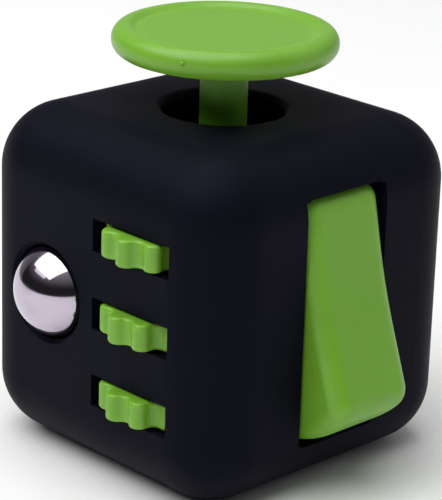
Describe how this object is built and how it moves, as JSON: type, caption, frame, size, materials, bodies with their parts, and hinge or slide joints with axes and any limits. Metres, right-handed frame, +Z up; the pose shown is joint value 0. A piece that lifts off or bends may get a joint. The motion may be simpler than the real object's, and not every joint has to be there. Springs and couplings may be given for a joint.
{
  "type": "fidget_cube",
  "caption": "Palm-sized fidget cube with a tilting thumb disc, side gears, a roller ball, a rocker, click buttons, a spin dial and a thumb dish",
  "frame": {"origin": "the middle of the bottom face, where the cube stands", "axes": "+Z up through the thumb disc, -Y out of the face with the gears and the ball, +X out of the face with the rocker"},
  "size_m": [0.0375, 0.0366, 0.0408],
  "materials": {
    "case_plastic": "soft satin moulded plastic with a faint blue cast",
    "green_plastic": "satin moulded plastic, lime green",
    "chrome_ball": "polished chrome",
    "dark_plastic": "moulded nylon, unpainted",
    "white_plastic": "natural acetal",
    "steel": "bright drawn steel",
    "brass": "turned brass",
    "board": "glass-fibre board with a green coat",
    "rubber": "black silicone rubber"
  },
  "bodies": {
    "housing": {"front_shell": "case_plastic", "rear_shell": "case_plastic", "case_pins": "steel", "glide_cradle": "dark_plastic", "glide_spring": "steel", "glide_screws": "steel", "gear_axle": "steel", "gear_bracket": "dark_plastic", "gear_screws": "steel", "ball_spring": "steel", "ball_guide": "dark_plastic", "ball_screws": "steel", "rocker_pin": "steel", "rocker_bracket": "dark_plastic", "rocker_screws": "steel", "button_springs": "steel", "button_plate": "board", "snap_domes": "steel", "quiet_pads": "rubber", "button_screws": "steel", "dial_bush": "brass"},
    "glide_gimbal": {"glide_gimbal": "dark_plastic", "glide_cross_pin": "steel"},
    "thumb_disc": {"thumb_disc": "green_plastic"},
    "gear_upper": {"gear_upper": "green_plastic"},
    "gear_middle": {"gear_middle": "green_plastic"},
    "gear_lower": {"gear_lower": "green_plastic"},
    "ball_plunger": {"ball_plunger": "dark_plastic"},
    "ball_cup": {"ball_cup": "white_plastic"},
    "roller_ball": {"roller_ball": "chrome_ball"},
    "rocker": {"rocker": "green_plastic", "detent_plunger": "white_plastic", "detent_spring": "steel"},
    "button_1": {"button_1": "green_plastic"},
    "button_2": {"button_2": "green_plastic"},
    "button_3": {"button_3": "green_plastic"},
    "button_4": {"button_4": "green_plastic"},
    "button_5": {"button_5": "green_plastic"},
    "spin_dial": {"spin_dial": "green_plastic", "dial_clip": "steel"}
  },
  "joints": [
    {"name": "glide_tilt_x", "type": "hinge", "parent": "housing", "child": "glide_gimbal", "pos_m": [0, 0, 0.025], "axis": [1, 0, 0], "range_deg": [-14, 14], "stiffness_Nm_per_rad": 0.05, "deforming": ["glide_spring"]},
    {"name": "glide_tilt_y", "type": "hinge", "parent": "glide_gimbal", "child": "thumb_disc", "pos_m": [0, 0, 0.025], "axis": [0, 1, 0], "range_deg": [-14, 14], "stiffness_Nm_per_rad": 0.05},
    {"name": "gear_upper_spin", "type": "hinge", "parent": "housing", "child": "gear_upper", "pos_m": [0.00565, -0.0129, 0.02405], "axis": [0, 0, 1], "continuous": true},
    {"name": "gear_middle_spin", "type": "hinge", "parent": "housing", "child": "gear_middle", "pos_m": [0.00565, -0.0129, 0.0165], "axis": [0, 0, 1], "continuous": true},
    {"name": "gear_lower_spin", "type": "hinge", "parent": "housing", "child": "gear_lower", "pos_m": [0.00565, -0.0129, 0.00895], "axis": [0, 0, 1], "continuous": true},
    {"name": "ball_click", "type": "slide", "parent": "housing", "child": "ball_plunger", "axis": [0, 1, 0], "range_m": [0, 0.0008], "stiffness_N_per_m": 900, "deforming": ["ball_spring"]},
    {"name": "ball_cup_swivel", "type": "hinge", "parent": "ball_plunger", "child": "ball_cup", "pos_m": [-0.006, -0.0143, 0.0165], "axis": [0, 1, 0], "continuous": true},
    {"name": "ball_roll", "type": "hinge", "parent": "ball_cup", "child": "roller_ball", "pos_m": [-0.006, -0.0143, 0.0165], "axis": [1, 0, 0], "continuous": true},
    {"name": "rocker_flip", "type": "hinge", "parent": "housing", "child": "rocker", "pos_m": [0.0118, 0, 0.0169], "axis": [0, 1, 0], "range_deg": [0, 24]},
    {"name": "button_1_press", "type": "slide", "parent": "housing", "child": "button_1", "axis": [0, -1, 0], "range_m": [0, 0.001], "stiffness_N_per_m": 400, "deforming": ["button_springs"]},
    {"name": "button_2_press", "type": "slide", "parent": "housing", "child": "button_2", "axis": [0, -1, 0], "range_m": [0, 0.001], "stiffness_N_per_m": 400},
    {"name": "button_3_press", "type": "slide", "parent": "housing", "child": "button_3", "axis": [0, -1, 0], "range_m": [0, 0.001], "stiffness_N_per_m": 400},
    {"name": "button_4_press", "type": "slide", "parent": "housing", "child": "button_4", "axis": [0, -1, 0], "range_m": [0, 0.001], "stiffness_N_per_m": 400},
    {"name": "button_5_press", "type": "slide", "parent": "housing", "child": "button_5", "axis": [0, -1, 0], "range_m": [0, 0.001], "stiffness_N_per_m": 400},
    {"name": "dial_spin", "type": "hinge", "parent": "housing", "child": "spin_dial", "pos_m": [-0.0165, 0, 0.0165], "axis": [1, 0, 0], "continuous": true}
  ]
}
